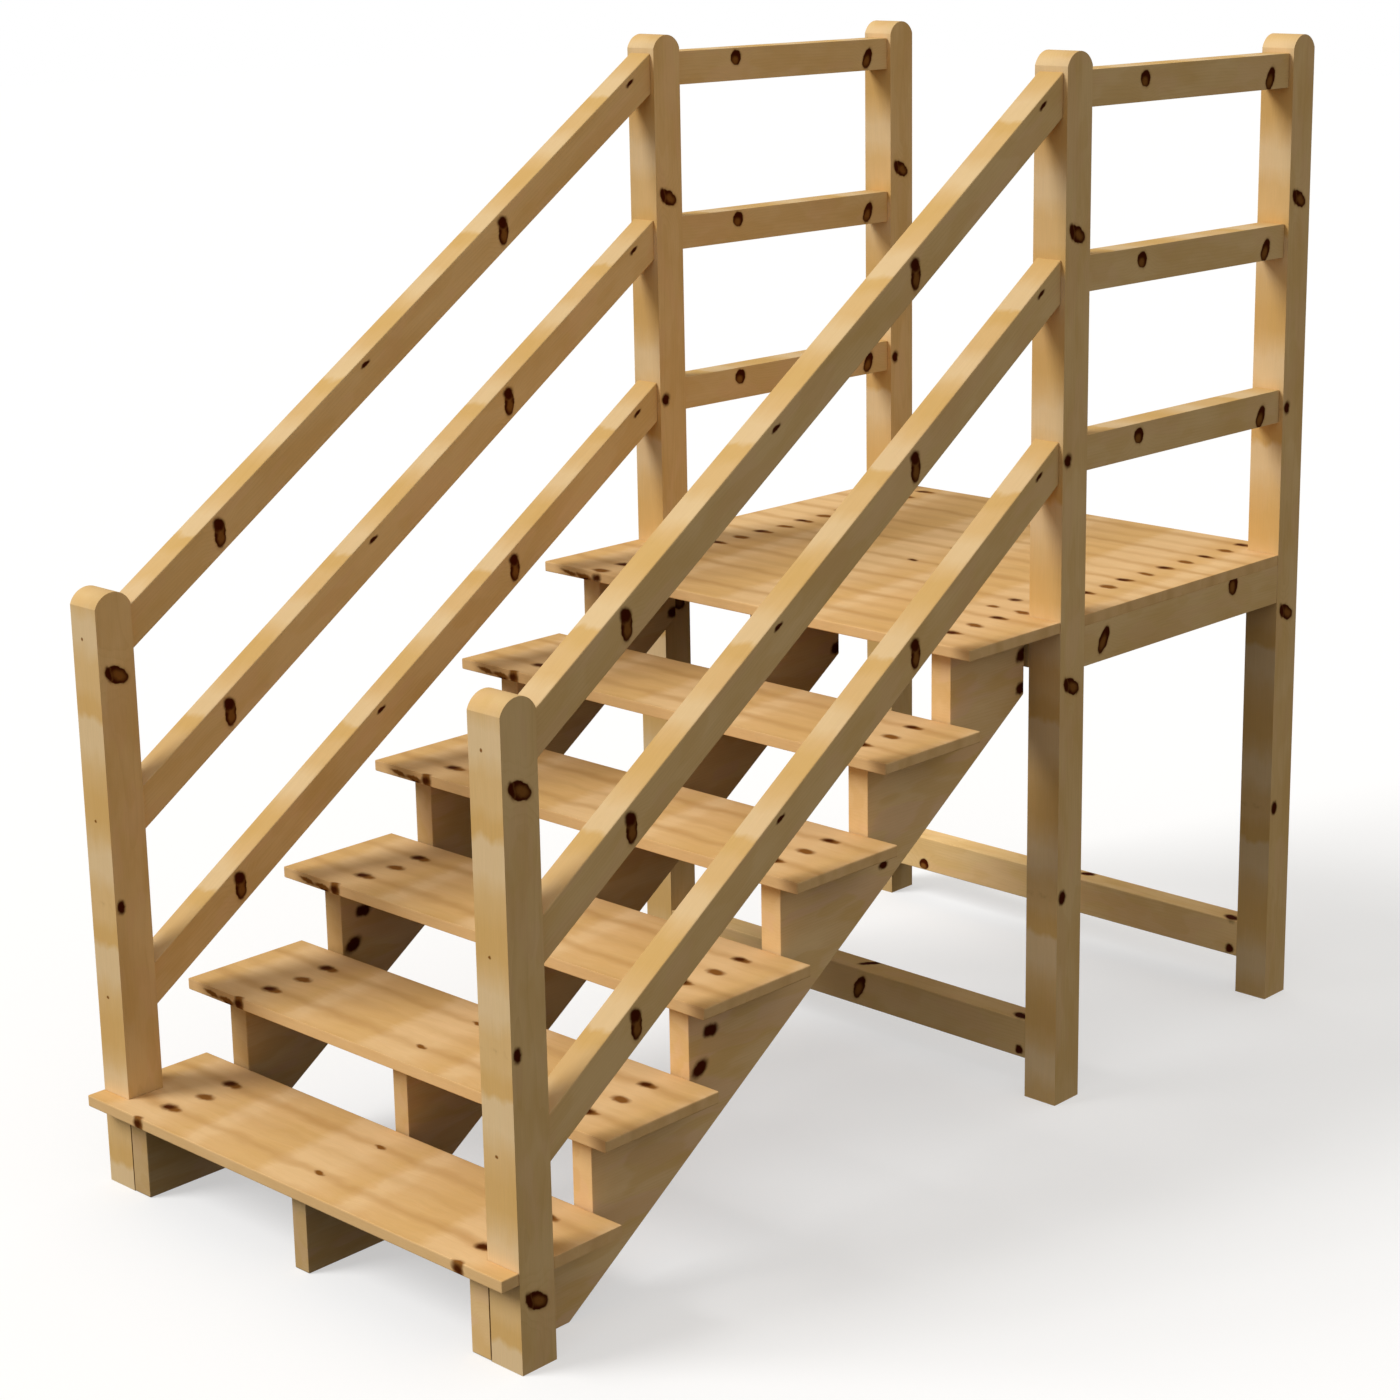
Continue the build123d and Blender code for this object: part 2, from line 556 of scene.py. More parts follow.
    def rings(self, log: Socket, texture: Socket, nearest: Socket | None) -> Socket:
        """Lays the yearly rings, which wander along the grain and swell round the knots.

        Args:
            log: The place in the log.
            texture: The same, moved to a part of the pattern of its own.
            nearest: The distance to the nearest knot, or nothing.

        Returns:
            How dark the late wood is, for the relief.
        """
        finish, dice = self.finish, self.dice
        pith_sideways = dice.uniform(-18.0, 18.0)
        pith_up = dice.choice((-1.0, 1.0)) * dice.uniform(46.0, 70.0)
        pith = (0.0, pith_sideways, pith_up)
        off = self.add("VectorMath", {0: log, 1: pith}, operation="SUBTRACT")[0]
        off = self.add("VectorMath", {0: off, 1: (0.0, 1.0, 1.0)}, operation="MULTIPLY")[0]
        radius = self.add("VectorMath", {0: off}, operation="LENGTH")["Value"]
        wander = self.blotches(texture, (520.0, 90.0, 90.0), 2.5)["Fac"]
        strayed = {0: wander, 1: finish.ring_wander, 2: radius}
        radius = self.add("Math", strayed, operation="MULTIPLY_ADD")[0]
        if nearest is not None:
            swelling = {"Value": nearest, "From Min": 0.6, "From Max": 3.8}
            swelling |= {"To Min": finish.ring_swelling, "To Max": 0.0}
            swollen = self.add("MapRange", swelling, interpolation_type="SMOOTHSTEP")[0]
            radius = self.add("Math", {0: radius, 1: swollen}, operation="ADD")[0]
        years = self.add("Math", {0: radius, 1: finish.ring_width}, operation="DIVIDE")[0]
        year = self.add("Math", {0: years}, operation="FRACT")[0]
        late = self.add("Math", {0: year, 1: 2.4}, operation="POWER")[0]
        self.lay(finish.late_wood, late, (0.0, 1.0), (0.0, finish.ring_strength))
        return late

    def patches(self, texture: Socket) -> None:
        """Lays soft patches of sapwood and heartwood, and rosier ones with a firmer edge.

        Args:
            texture: The place in a part of the pattern of its own.
        """
        finish = self.finish
        firm_strength = 0.6 * finish.patch_strength
        size = Vector((finish.patch_length, finish.patch_width, finish.patch_width))
        patch = self.blotches(texture, size, 3.0)["Fac"]
        firm = self.blotches(texture, size * 0.75, 1.5)["Color"]
        firm = self.add("SeparateXYZ", {0: firm})
        self.lay(finish.pale_patch, patch, (0.47, 0.66), (0.0, finish.patch_strength))
        self.lay(finish.deep_patch, patch, (0.50, 0.33), (0.0, finish.patch_strength))
        self.lay(finish.rosy_patch, firm["X"], (0.52, 0.58), (0.0, firm_strength))
        self.lay(finish.deep_patch, firm["Y"], (0.53, 0.59), (0.0, firm_strength))

    def growth_bands(self, place: Socket, texture: Socket) -> None:
        """Lays the band of each year's upward growth on the flat-sawn faces, with one firm edge.

        Args:
            place: The place in the timber.
            texture: The place in a part of the pattern of its own.
        """
        timber, finish, wander = self.timber, self.finish, self.finish.band_wander
        stray = self.blotches(texture, (60.0, 28.0, 28.0), 2.0)["Fac"]
        split = self.add("SeparateXYZ", {0: place})
        leaning = {0: split["Y"], 1: finish.band_lean, 2: split["X"]}
        leaning = self.add("Math", leaning, operation="MULTIPLY_ADD")[0]
        along = self.add("Math", {0: stray, 1: wander, 2: leaning}, operation="MULTIPLY_ADD")[0]
        start = timber.band_start + wander / 2
        from_start = self.add("Math", {0: along, 1: start}, operation="SUBTRACT")[0]
        years = self.add("Math", {0: from_start, 1: timber.growth}, operation="DIVIDE")[0]
        year = self.add("Math", {0: years}, operation="FRACT")[0]
        stops = [(position, self.toned(colour)) for position, colour in finish.bands()]
        tone = self.add("ValToRGB", {0: year}, stops=stops)["Color"]
        self.lay(tone, self.facing(timber.flat), (0.5, 0.95), (0.0, finish.band_strength))

    def streaks(self, staves: Staves, texture: Socket, glued: GluedPine) -> None:
        """Lays a wavy streak through each stave's knots, paler edges and the stave's own tone.

        Args:
            staves: The place in its stave.
            texture: The place in a part of the pattern of its own.
            glued: The board's finish.
        """
        wander = glued.streak_wander
        stray = self.blotches(texture, (90.0, 60.0, 60.0), 2.0)["Fac"]
        centred = {0: staves.from_middle, 1: wander / 2}
        centred = self.add("Math", centred, operation="SUBTRACT")[0]
        centre = self.add("Math", {0: stray, 1: wander, 2: centred}, operation="MULTIPLY_ADD")[0]
        reach = self.add("Math", {0: centre}, operation="ABSOLUTE")[0]
        along = self.blotches(texture, (260.0, 260.0, 260.0), 1.0)["Fac"]
        weak = self.add("Math", {0: staves.first, 1: 0.28, 2: 0.0}, operation="MULTIPLY_ADD")[0]
        strength = self.add("Math", {0: along, 1: 0.5, 2: weak}, operation="MULTIPLY_ADD")[0]
        self.lay(glued.heart_streak, reach, (0.0, glued.streak_reach), (strength, 0.0))
        edge = self.facing(Vector((0.0, 1.0, 0.0)))
        self.lay(glued.pale_patch, edge, (0.6, 0.95), (0.0, 0.5))
        toned = self.add("MapRange", {"Value": staves.tone, "To Min": 0.985, "To Max": 1.015})[0]
        self.colour = self.add("VectorMath", {0: self.colour, "Scale": toned}, operation="SCALE")[0]

    def paint_seam_shade(self, place: Socket, seam: Seam) -> None:
        """Lays painted shade in a gap between two timbers.

        Args:
            place: The place in the timber.
            seam: The gap whose shade is painted.
        """
        mapped = {"Vector": place, "Location": seam.middle, "Scale": seam.reach}
        about = self.add("Mapping", mapped, vector_type="TEXTURE")[0]
        about = self.add("VectorMath", {0: about}, operation="ABSOLUTE")[0]
        split = self.add("SeparateXYZ", {0: about})
        farthest = self.add("Math", {0: split["X"], 1: split["Y"]}, operation="MAXIMUM")[0]
        farthest = self.add("Math", {0: farthest, 1: split["Z"]}, operation="MAXIMUM")[0]
        # painted shade: the gap is laid dark, fading out at its edges
        self.lay(self.finish.seam, farthest, (0.8, 1.2), (1.0, 0.0))

    def lay_knots(self, whole: Socket, pair: Socket, distances: dict[Kind, Socket | None]) -> None:
        """Lays the knots of every kind, each with a browner halo in the wood round it.

        Args:
            whole: The place in the whole timber.
            pair: The place in a pair of staves.
            distances: The distance to the nearest knot of each kind.
        """
        finish = self.finish
        dead, sound, charred = (distances[kind] for kind in (Kind.DEAD, Kind.SOUND, Kind.CHARRED))
        if sound is not None:
            self.lay(finish.knot_sound, sound, (0.5, 1.2), (0.95, 0.0))
        if dead is not None:
            self.lay(finish.knot_halo, dead, (0.95, 1.4), (0.35, 0.0))
            self.lay(finish.knot_rim, dead, (0.9, 1.1), (1.0, 0.0))
            heart = self.knot_distance(whole, pair, Kind.DEAD, 0.82, self.timber.heart)
            browner = {"Value": heart, "From Min": 0.3, "To Min": 1.0, "To Max": 0.0}
            browner = self.add("MapRange", browner, interpolation_type="SMOOTHSTEP")[0]
            self.lay(finish.knot_heart, dead, (0.88, 1.02), (browner, 0.0))
        if charred is not None:
            self.lay(finish.knot_halo, charred, (0.95, 1.3), (0.25, 0.0))
            self.lay(finish.knot_rim, charred, finish.knot_fade, (1.0, 0.0))

    def build(self) -> bpy.types.Material:
        """Puts the pattern together.

        Returns:
            The finished material.
        """
        timber, finish = self.timber, self.finish
        glued = finish if isinstance(finish, GluedPine) else None
        place = self.board_place()
        staves = self.staves(place, glued) if glued else None
        pair, log = (staves.pair, staves.log) if staves else (place, place)
        log_start = tuple(self.dice.uniform(-900.0, 900.0) for _ in range(3))
        texture = self.add("VectorMath", {0: log, 1: log_start}, operation="ADD")[0]

        # The edge of a knot is ragged by a millimetre or two, because the blotches keep near 0.5.
        ragged = self.blotches(place, (finish.ragged_wave,) * 3, 2.0)["Color"]
        ragged = self.add("VectorMath", {0: ragged, 1: (0.5,) * 3}, operation="SUBTRACT")[0]
        whole_ragged, pair_ragged = (
            self.add(
                "VectorMath",
                {0: ragged, 1: (finish.ragged_reach,) * 3, 2: smooth},
                operation="MULTIPLY_ADD",
            )[0]
            for smooth in (place, pair)
        )
        distances = {kind: self.knot_distance(whole_ragged, pair_ragged, kind) for kind in Kind}

        late = self.rings(log, texture, distances[Kind.DEAD])
        self.patches(texture)
        if timber.flat is not None:
            self.growth_bands(place, texture)
        if staves and glued:
            self.streaks(staves, texture, glued)
        fibre = self.blotches(texture, finish.fibre, 4.0)["Fac"]
        flecks = {"Value": fibre, "From Min": 0.3, "From Max": 0.7, "To Min": 0.97, "To Max": 1.025}
        fleck = self.add("MapRange", flecks)[0]
        self.colour = self.add("VectorMath", {0: self.colour, "Scale": fleck}, operation="SCALE")[0]

        # End grain drinks the light, so it is darker where the surface faces along the grain.
        end = self.facing(Vector((1.0, 0.0, 0.0)))
        self.lay(finish.end_grain, end, (0.8, 0.99), (0.0, 0.4))
        self.lay_knots(whole_ragged, pair_ragged, distances)
        # painted shade in the gaps beside neighbouring timbers
        for seam in timber.shaded_seams:
            self.paint_seam_shade(place, seam)
        height = self.add("Math", {0: fibre, 1: 2.0, 2: late}, operation="MULTIPLY_ADD")[0]
        relief = {"Height": height, "Strength": 0.3, "Distance": finish.relief * MM}
        skin = {
            "Base Color": self.colour,
            "Roughness": finish.roughness,
            "Specular IOR Level": finish.sheen,
            "Normal": self.add("Bump", relief)[0],
        }
        self.add("OutputMaterial", {"Surface": self.add("BsdfPrincipled", skin)[0]})
        return self.wood


def dress(timber: Timber, pitch: float) -> None:
    """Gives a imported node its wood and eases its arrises.

    Args:
        timber: The wood that the node gets.
        pitch: The slope of the flight, in radians.
    """
    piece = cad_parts[timber.node]
    piece.material_slots[0].material = PineMaterial(timber, pitch).build()
    weld = piece.modifiers.new("joined", "WELD")
    weld.merge_threshold = WELD_REACH * MM
    arris = piece.modifiers.new("eased arrises", "BEVEL")
    arris.width = ARRIS_WIDTH * MM
    arris.segments = 2
    arris.limit_method = "ANGLE"
    arris.angle_limit = math.radians(ARRIS_ANGLE)
    LOG.info("%s: grain %s, %d knots", timber.node, timber.grain.value, len(timber.knots))


def first_rise() -> float:
    """The height of the first step cut above the ground, in millimetres."""
    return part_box("tread_1")[0].z / MM


def front_end(node: str) -> Vector:
    """The middle of a timber's front end, in metres."""
    low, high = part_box(node)
    return Vector(((low.x + high.x) / 2, low.y, (low.z + high.z) / 2))


# ---- Sub-assemblies ---------------------------------------------------------------------


@dataclass(frozen=True)
class PostRings:
    """Where the rings of branches lie up a kind of post, in millimetres.

    Attributes:
        first: The height of the lowest ring.
        drop: How far its large knots lie below their ring.
        small: The width of its small knots.
        pins: How many pin knots show on its front.
        beside_stringer: Whether the foot of a stringer lies against it.
    """

    first: float
    drop: float
    small: float
    pins: int = 0
    beside_stringer: bool = False


@dataclass
class Guard:
    """The posts and rails of both sides."""

    pitch: float  # the slope of the flight, in radians
    places: tuple[str, str, str] = ("top", "middle", "bottom")
    band_to_whorl: float = 94.0  # from the firm edge of a growth band to the ring of branches
    small_knot_edge: float = -37.5  # from a post's middle to the front edge of its small knots
    first_pin: float = 92.0  # from the top of a post to its first pin knot
    pin_spacing: float = 359.0  # from one pin knot to the next
    pin_width: float = 7.5
    left_lift: float = 5.0  # how much higher the knots of the left landing rails lie

    def post(self, node: str, rings: PostRings, seed: int) -> Timber:
        """The wood of one post.

        Args:
            node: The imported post.
            rings: Where its knots lie.
            seed: Sets its log apart.

        Returns:
            The post's wood, with large and small knots in turn up its side faces.
        """
        low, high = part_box(node)
        centre = (low + high) / 2
        tall = (high.z - low.z) / MM
        knots = []
        ring, large = rings.first, rings.first < YEAR_GROWTH / 2
        while ring < tall:
            if large:
                height = ring - rings.drop
                knots.append(Knot(height, -2.0, 0.0, 32.0, 54.0, 31.0, Branch.UP))
                size = (36.0, 15.0, -12.0)
                knots.append(Knot(height + 6.0, -20.0, 0.0, *size, Branch.UP, Kind.CHARRED))
            else:
                middle = self.small_knot_edge + rings.small / 2
                size = (33.0, rings.small, 0.0)
                knots.append(Knot(ring, middle, 0.0, *size, Branch.UP, Kind.CHARRED))
            ring += YEAR_GROWTH
            large = not large
        for number in range(rings.pins):
            pin = tall - self.first_pin - number * self.pin_spacing
            knots.append(Knot(pin, 0.0, 7.0, self.pin_width, self.pin_width, kind=Kind.SOUND))
        return Timber(
            node,
            Grain.UPRIGHT,
            Vector((centre.x, centre.y, low.z)),
            knots,
            seed,
            heart=(-2.0, 5.0, 0.0),
            flat=Vector((0.0, 1.0, 0.0)),
            band_start=rings.first - self.band_to_whorl,
            growth=-YEAR_GROWTH,
            # painted shade in the gap beside a stringer's foot
            shaded_seams=(self.foot_seam_shade(low, high, centre),) if rings.beside_stringer else (),
        )

    def foot_seam_shade(self, low: Vector, high: Vector, centre: Vector) -> Seam:
        """The painted shade of the gap up the front of a lower newel, beside the foot of its
        stringer.

        Args:
            low: The post's lowest corner.
            high: The post's highest corner.
            centre: The post's middle.

        Returns:
            The gap whose shade is painted, along the post's inner front edge.
        """
        half_rise = first_rise() / 2
        inner_side = math.copysign((high.x - low.x) / MM / 2, centre.x)
        front = (low.y - centre.y) / MM
        return Seam((half_rise, front, inner_side), (half_rise, SEAM_RETURN, SEAM_WIDTH / 2))

    def build(self) -> None:
        """Dresses the posts and rails."""
        kinds = {
            "lower_newel": PostRings(128.0, drop=0.0, small=20.0, pins=3, beside_stringer=True),
            "upper_newel": PostRings(456.0, drop=11.0, small=27.0),
            "back_post": PostRings(456.0, drop=6.0, small=25.0),
        }
        seed = 0
        for side in SIDES:
            for kind, rings in kinds.items():
                seed += 1
                dress(self.post(f"{kind}_{side}", rings, seed), self.pitch)
            for place in self.places:
                seed += 2
                dress(self.stair_rail(f"stair_rail_{side}_{place}", seed), self.pitch)
                dress(self.landing_rail(f"landing_rail_{side}_{place}", seed + 1, side), self.pitch)

    def stair_rail(self, node: str, seed: int) -> Timber:
        """The wood of one sloping rail, whose large knots stand upright on its side faces.

        Args:
            node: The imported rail.
            seed: Sets its log apart.

        Returns:
            The rail's wood.
        """
        low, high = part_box(node)
        plumb_depth = (high.z - low.z) - (high.y - low.y) * math.tan(self.pitch)
        plumb = 90.0 - math.degrees(self.pitch)
        knots = []
        for large, small in ((265.0, 737.0), (1182.0, 1655.0)):
            knots += [
                Knot(large, 0.0, -3.0, 54.0, 27.0, plumb - 3.0),
                Knot(large + 9.0, 0.0, 15.0, 30.0, 31.0, plumb, kind=Kind.CHARRED),
                Knot(small, 0.0, 21.0, 29.0, 10.0, kind=Kind.CHARRED),
            ]
        return Timber(
            node,
            Grain.PITCH,
            Vector(((low.x + high.x) / 2, low.y, low.z + plumb_depth / 2)),
            knots,
            seed,
            heart=(-2.0, 0.0, -6.0),
            flat=Vector((0.0, 0.0, 1.0)),
            band_start=222.0,
            finish=RailPine(),
        )

    def landing_rail(self, node: str, seed: int, side: str) -> Timber:
        """The wood of one level rail.

        Args:
            node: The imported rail.
            seed: Sets its log apart.
            side: The side that it is on.

        Returns:
            The rail's wood.
        """
        lift = self.left_lift if side == "left" else 0.0
        knots = [
            Knot(190.0, 0.0, 10.0 + lift, 34.0, 33.0, 82.0),
            Knot(638.0, 0.0, -13.0 + lift, 50.0, 30.0, 62.0),
        ]
        return Timber(
            node,
            Grain.ALONG,
            front_end(node),
            knots,
            seed,
            heart=(-3.0, 0.0, -6.0),
            flat=Vector((0.0, 0.0, 1.0)),
            band_start=110.0,
            finish=RailPine(),
        )


@dataclass(frozen=True)
class KnotRows:
    """Where the rows of knots lie on a kind of board, in millimetres.

    Attributes:
        first: From its front edge to its first row of charred knots.
        left: From its middle to the charred knots near its left end.
        to_edge: Whether the sound knots between the charred ones go on to its front edge.
    """

    first: float
    left: float
    to_edge: bool


@dataclass
class Boards:
    """The treads and the landing's deck, glued up from staves.

    Attributes:
        pitch: The slope of the flight, in radians.
        tread_count: How many treads there are.
        tread_rows: Where the knots lie on a tread.
        deck_rows: Where the knots lie on the deck.
        edge_depth: How far the knots of a front edge reach into the board, in millimetres.
        finish: The boards' wood.
    """

    pitch: float
    tread_count: int = 5
    tread_rows: KnotRows = KnotRows(71.0, -427.0, to_edge=False)
    deck_rows: KnotRows = KnotRows(90.0, -444.0, to_edge=True)
    edge_depth: float = 14.0
    finish: GluedPine = GluedPine()

    def board(self, node: str, rows: KnotRows, seed: int, more: list[Knot]) -> Timber:
        """The wood of one glued board, with charred and sound knots in turn near both its ends.

        Args:
            node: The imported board.
            rows: Where its rows of knots lie.
            seed: Sets its staves apart.
            more: Further knots of its own.

        Returns:
            The board's wood.
        """
        low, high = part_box(node)
        stave, left = self.finish.stave, rows.left
        first, second, front = stave / 2, 1.5 * stave, stave / 2 - rows.first
        charred = {"branch": Branch.UP, "kind": Kind.CHARRED, "repeats": True}
        sound = {"branch": Branch.UP, "kind": Kind.SOUND, "repeats": True}
        between = {"branch": Branch.UP, "kind": Kind.SOUND, "repeats": rows.to_edge}
        edge = {"kind": Kind.CHARRED, "depth": self.edge_depth}
        knots = [
            Knot(left, first, 0.0, 38.0, 27.0, 8.0, **charred),
            Knot(left + 14.0, first, 0.0, 48.0, 23.0, 0.0, **sound),
            Knot(left + 11.0, second, 0.0, 50.0, 29.0, 4.0, **between),
            Knot(482.0, first, 0.0, 36.0, 27.0, -6.0, **charred),
            Knot(490.0, first, 0.0, 44.0, 24.0, 0.0, **sound),
            Knot(490.0, second, 0.0, 48.0, 28.0, -4.0, **between),
            Knot(-437.0, front, -2.0, 32.0, 19.0, 12.0, **edge),
            Knot(487.0, front, -2.0, 32.0, 19.0, -10.0, **edge),
            *more,
        ]
        if not rows.to_edge:
            for along in (-434.0, 488.0):
                knots.append(Knot(along, front - 2.0, 0.0, 30.0, 22.0, 0.0, Branch.UP, Kind.SOUND))
        return Timber(
            node,
            Grain.ACROSS,
            Vector((0.0, low.y + (rows.first - stave / 2) * MM, (low.z + high.z) / 2)),
            knots,
            seed,
            heart=(5.0, -2.0, 0.0),
            flat=Vector((0.0, 0.0, 1.0)),
            band_start=-62.0,
            finish=self.finish,
        )

    def smears(self, rows: KnotRows) -> list[Knot]:
        """The brown smears along a board's front edge, near its left end.

        Args:
            rows: Where the board's rows of knots lie.

        Returns:
            The smears.
        """
        front = self.finish.stave / 2 - rows.first
        sound = {"kind": Kind.SOUND, "depth": self.edge_depth}
        charred = {"kind": Kind.CHARRED, "depth": self.edge_depth}
        return [
            Knot(-476.0, front, -5.0, 60.0, 14.0, -5.0, **sound),
            Knot(-522.0, front, -2.0, 56.0, 11.0, -8.0, **sound),
            Knot(-470.0, front, -9.0, 26.0, 6.0, -4.0, **charred),
        ]

    def build(self) -> None:
        """Dresses the treads and the deck."""
        stave = self.finish.stave
        for step in range(1, self.tread_count + 1):
            more = [Knot(31.0, stave / 2, 0.0, 34.0, 16.0, -12.0, Branch.UP, Kind.SOUND, True)]
            if step > 1:
                more += self.smears(self.tread_rows)
            dress(self.board(f"tread_{step}", self.tread_rows, 40 + step, more), self.pitch)
        few = [
            Knot(412.0, 4.5 * stave, 0.0, 32.0, 24.0, 0.0, Branch.UP, Kind.CHARRED),
            Knot(412.0, 3.5 * stave, 0.0, 34.0, 20.0, 0.0, Branch.UP, Kind.SOUND),
            Knot(13.0, 6.5 * stave, 0.0, 30.0, 17.0, -12.0, Branch.UP, Kind.CHARRED),
            Knot(13.0, 8.5 * stave, 0.0, 28.0, 14.0, -12.0, Branch.UP, Kind.SOUND),
            *self.smears(self.deck_rows),
        ]
        dress(self.board("landing_deck", self.deck_rows, 50, few), self.pitch)


@dataclass
class Carcass:
    """The stringers, and the beams, braces, aprons and joist of the landing."""

    pitch: float  # the slope of the flight, in radians
    brace_top: float = 42.5  # from the middle of a brace to its top
    brace_knot_depth: float = 16.0  # how far a knot on a brace's top reaches into it

    def stringer(self, node: str, seed: int, tone: float) -> Timber:
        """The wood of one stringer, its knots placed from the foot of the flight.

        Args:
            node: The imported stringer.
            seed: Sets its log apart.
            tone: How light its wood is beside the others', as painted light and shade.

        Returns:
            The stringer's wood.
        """
        low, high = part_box(node)
        knots = [
            Knot(557.0, 0.0, 441.0, 44.0, 29.0, -4.0, kind=Kind.CHARRED),
            Knot(527.0, 0.0, 375.0, 50.0, 34.0, 30.0, kind=Kind.CHARRED),
            Knot(1045.0, 0.0, 632.0, 32.0, 19.0, 4.0, kind=Kind.CHARRED),
            Knot(1474.0, 0.0, 898.0, 36.0, 28.0, 20.0, kind=Kind.CHARRED),
            Knot(1476.0, 0.0, 968.0, 42.0, 30.0, 30.0, kind=Kind.CHARRED),
        ]
        start = Vector(((low.x + high.x) / 2, low.y, low.z))
        half_rise = first_rise() / 2
        outer_side = -math.copysign((high.x - low.x) / MM / 2, start.x)
        # painted shade in the gap between the stringer's foot and its newel
        seam = Seam((0.0, outer_side, half_rise), (SEAM_RETURN, SEAM_WIDTH / 2, half_rise))
        beside_newel = abs(start.x) > MM  # the middle stringer stands free
        shaded_seams = (seam,) if beside_newel else ()
        return Timber(node, Grain.ALONG, start, knots, seed, tone, finish=PlankPine(), shaded_seams=shaded_seams)

    def brace_top_knot(self, along: float, sideways: float, size: Triple) -> Knot:
        """A charred knot that shows only on the top of a brace.

        Args:
            along: Its place along the brace, from the middle.
            sideways: Its place towards the foot of the flight, from the middle.
            size: Its length, its width and its lean from the grain in degrees.

        Returns:
            The knot.
        """
        kind = {"branch": Branch.UP, "kind": Kind.CHARRED, "depth": self.brace_knot_depth}
        return Knot(along, sideways, self.brace_top, *size, **kind)

    def across(self, node: str, seed: int, knots: list[Knot], tone: float = 1.0) -> Timber:
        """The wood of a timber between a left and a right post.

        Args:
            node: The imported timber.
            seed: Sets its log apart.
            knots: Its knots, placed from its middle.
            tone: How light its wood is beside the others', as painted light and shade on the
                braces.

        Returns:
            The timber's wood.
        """
        low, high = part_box(node)
        middle = (low + high) / 2
        return Timber(node, Grain.ACROSS, middle, knots, seed, tone, heart=(-2.0, 0.0, -5.0))

    def along(self, node: str, seed: int, knots: list[Knot]) -> Timber:
        """The wood of a timber from front to back.

        Args:
            node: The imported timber.
            seed: Sets its log apart.
            knots: Its knots, placed from its front end.

        Returns:
            The timber's wood.
        """
        heart = (-3.0, 0.0, -5.0)
        return Timber(node, Grain.ALONG, front_end(node), knots, seed, heart=heart)

    def build(self) -> None:
        """Dresses the timbers that carry the boards."""
        # painted shade and light: the left and middle stringers are darkened and the right one
        # lightened for the light that falls on each
        stringer_shades = {"left": 0.84, "middle": 0.84, "right": 1.14}
        for seed, (place, tone) in enumerate(stringer_shades.items(), 60):
            dress(self.stringer(f"stringer_{place}", seed, tone), self.pitch)
        knots = [Knot(66.0, 0.0, 1.0, 58.0, 30.0, 60.0), Knot(535.0, 0.0, 30.0, 44.0, 34.0, 88.0)]
        for seed, side in enumerate(SIDES, 64):
            dress(self.along(f"landing_apron_{side}", seed, knots), self.pitch)
        knots = [
            Knot(59.0, 0.0, 0.0, 60.0, 27.0, 64.0),
            self.brace_top_knot(55.0, 11.0, (56.0, 20.0, 50.0)),
            self.brace_top_knot(496.0, -13.0, (46.0, 26.0, -20.0)),
            Knot(505.0, 0.0, -27.0, 24.0, 24.0, kind=Kind.CHARRED),
        ]
        # painted shade: the front brace is darkened for the shade it stands in under the landing
        dress(self.across("front_brace", 67, knots, tone=0.93), self.pitch)
        knots = [
            Knot(-414.0, 0.0, -27.0, 30.0, 26.0),
            self.brace_top_knot(62.0, 14.0, (40.0, 26.0, 20.0)),
            self.brace_top_knot(495.0, -15.0, (48.0, 28.0, -20.0)),
            Knot(501.0, 0.0, -28.0, 26.0, 26.0, kind=Kind.CHARRED),
        ]
        # painted light: the back brace is lightened for the light that reaches it under the stairs
        dress(self.across("back_brace", 68, knots, tone=1.4), self.pitch)
        knots = [Knot(-300.0, 0.0, 6.0, 30.0, 24.0, 60.0), Knot(260.0, 0.0, -8.0, 26.0, 22.0)]
        for seed, node in enumerate(("front_beam", "back_beam"), 70):
            dress(self.across(node, seed, knots), self.pitch)
        knots = [Knot(220.0, 0.0, 6.0, 30.0, 22.0, 60.0)]
        dress(self.along("landing_joist", 72, knots), self.pitch)


# ---- Stage ------------------------------------------------------------------------------


